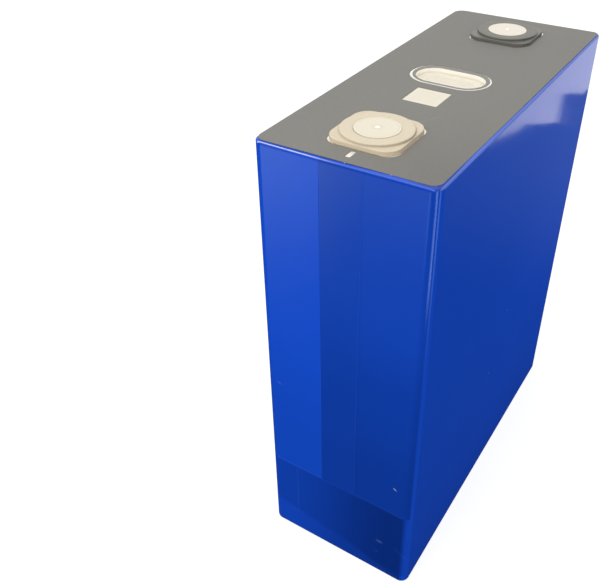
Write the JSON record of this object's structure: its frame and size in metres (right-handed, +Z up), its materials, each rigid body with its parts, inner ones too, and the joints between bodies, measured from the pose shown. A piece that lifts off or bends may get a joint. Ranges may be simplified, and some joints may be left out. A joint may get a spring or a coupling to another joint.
{
  "type": "prismatic battery cell",
  "caption": "Prismatic lithium iron phosphate cell in a blue film wrap, with two round-faced terminals, a safety vent and a grey insulating film on its lid.",
  "frame": {"origin": "centre of the bottom face", "axes": "+Z up through the lid, X along the cell's length with the positive terminal at +X, Y through its thickness"},
  "size_m": [0.1738, 0.0716, 0.2074],
  "materials": {
    "wrap_blue_pet": "glossy heat-formed PET film",
    "lid_film_grey": "fine matt film",
    "clear_pet": "thin clear PET film",
    "can_aluminium": "drawn, satin",
    "lid_aluminium": "rolled, satin",
    "contact_aluminium": "turned, fine satin",
    "copper": "copper, bright",
    "natural_pps": "moulded, natural colour, semi-gloss",
    "black_pps": "moulded, semi-gloss",
    "seal_rubber": "moulded rubber",
    "white_pp": "moulded polypropylene",
    "bag_film": "thin insulating film",
    "electrode_roll": "separator film round wound electrodes",
    "foil_aluminium": "bright foil",
    "foil_copper": "bright copper foil",
    "weld_tape": "adhesive insulating tape"
  },
  "bodies": {
    "root": {"wrap_film": "wrap_blue_pet", "top_film": "lid_film_grey", "vent_film_border": "lid_film_grey", "vent_cover_film": "clear_pet", "can": "can_aluminium", "lid_plate": "lid_aluminium", "vent_disc": "can_aluminium", "fill_port_plug": "seal_rubber", "fill_port_cap": "can_aluminium", "negative_terminal_body": "natural_pps", "negative_terminal_disc": "contact_aluminium", "negative_pole": "copper", "negative_seal_ring": "seal_rubber", "positive_terminal_body": "black_pps", "positive_terminal_disc": "contact_aluminium", "positive_pole": "contact_aluminium", "positive_seal_ring": "seal_rubber", "lower_insulator_negative": "white_pp", "lower_insulator_positive": "white_pp", "vent_guard": "white_pp", "negative_collector_plate": "foil_copper", "positive_collector_plate": "foil_aluminium", "negative_tabs_front": "foil_copper", "negative_tabs_rear": "foil_copper", "positive_tabs_front": "foil_aluminium", "positive_tabs_rear": "foil_aluminium", "negative_weld_tape": "weld_tape", "positive_weld_tape": "weld_tape", "jelly_roll_front": "electrode_roll", "jelly_roll_rear": "electrode_roll", "insulation_bag": "bag_film", "bottom_support_plate": "white_pp"}
  },
  "joints": []
}
